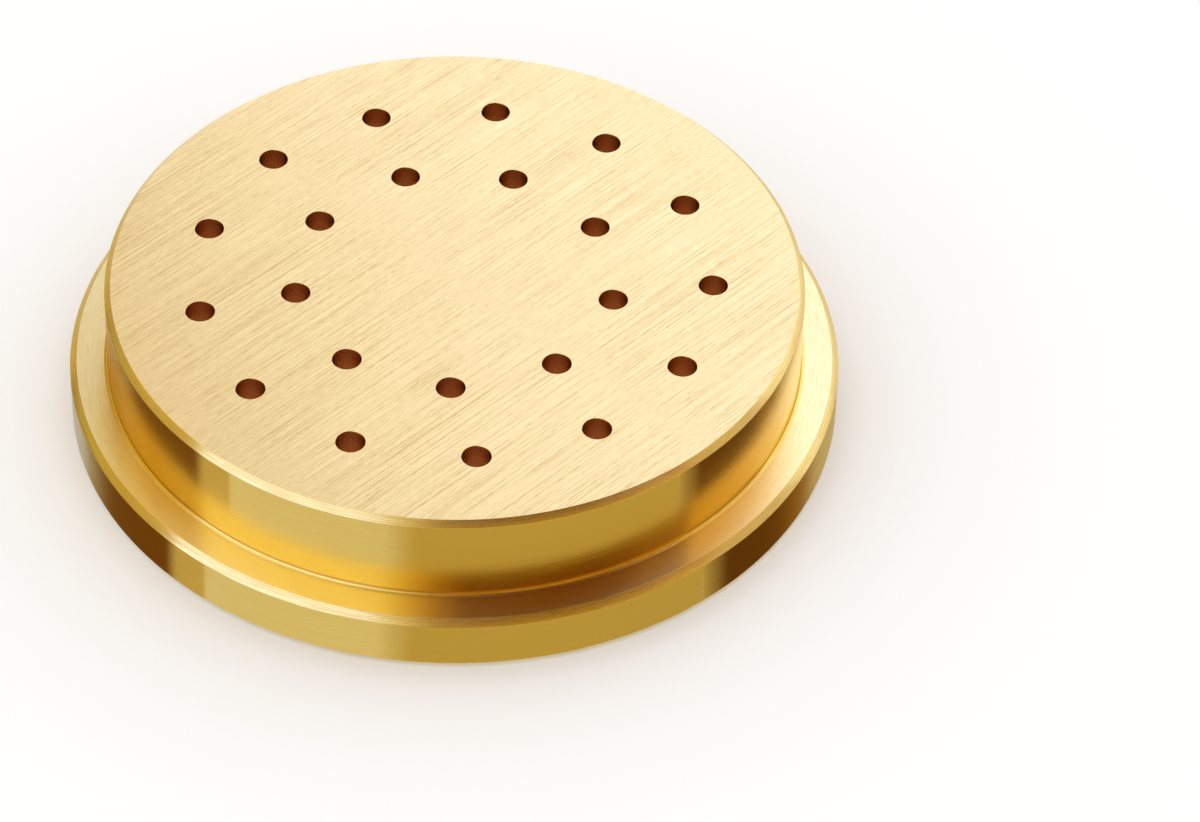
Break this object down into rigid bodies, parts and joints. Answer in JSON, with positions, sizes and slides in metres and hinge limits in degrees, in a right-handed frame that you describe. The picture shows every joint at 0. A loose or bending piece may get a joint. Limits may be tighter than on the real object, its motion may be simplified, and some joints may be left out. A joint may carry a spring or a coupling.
{
  "type": "pasta extrusion die",
  "caption": "Round brass extrusion die for fresh pasta: a drilled hub on a wider flange that a ring nut clamps into the mouth of an extruder's barrel.",
  "frame": {"origin": "centre of the back face, which is the inlet side that the die stands on", "axes": "+Z along the die's axis, the way the strands leave; +Y through the first hole of both rings"},
  "size_m": [0.059, 0.059, 0.012],
  "materials": {
    "turned_brass": "fine turned walls, straight brushed front face"
  },
  "bodies": {
    "root": {"die_body": "turned_brass"}
  },
  "joints": []
}
